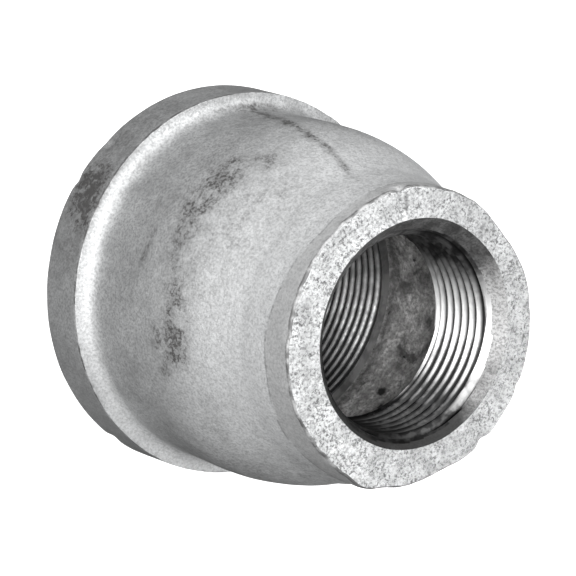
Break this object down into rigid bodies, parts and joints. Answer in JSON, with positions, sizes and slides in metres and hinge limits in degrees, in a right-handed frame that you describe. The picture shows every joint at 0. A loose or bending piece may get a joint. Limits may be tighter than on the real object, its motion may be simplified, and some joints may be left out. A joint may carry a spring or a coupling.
{
  "type": "concentric pipe reducer",
  "caption": "Galvanised malleable-iron reducing socket: a hollow domed casting with a banded large end, a short collar round the small end and an internal pipe thread in each.",
  "frame": {"origin": "centre of the large end's face, which is the lowest point", "axes": "+Z along the bore from the large end to the small end; +X and +Y lie in the large end's face, and only the start of each thread depends on them"},
  "size_m": [0.0826, 0.0826, 0.0714],
  "materials": {
    "galvanised_iron": "hot-dip galvanised, matt, as cast outside, with machined threads"
  },
  "bodies": {
    "root": {"reducer_casting": "galvanised_iron"}
  },
  "joints": []
}
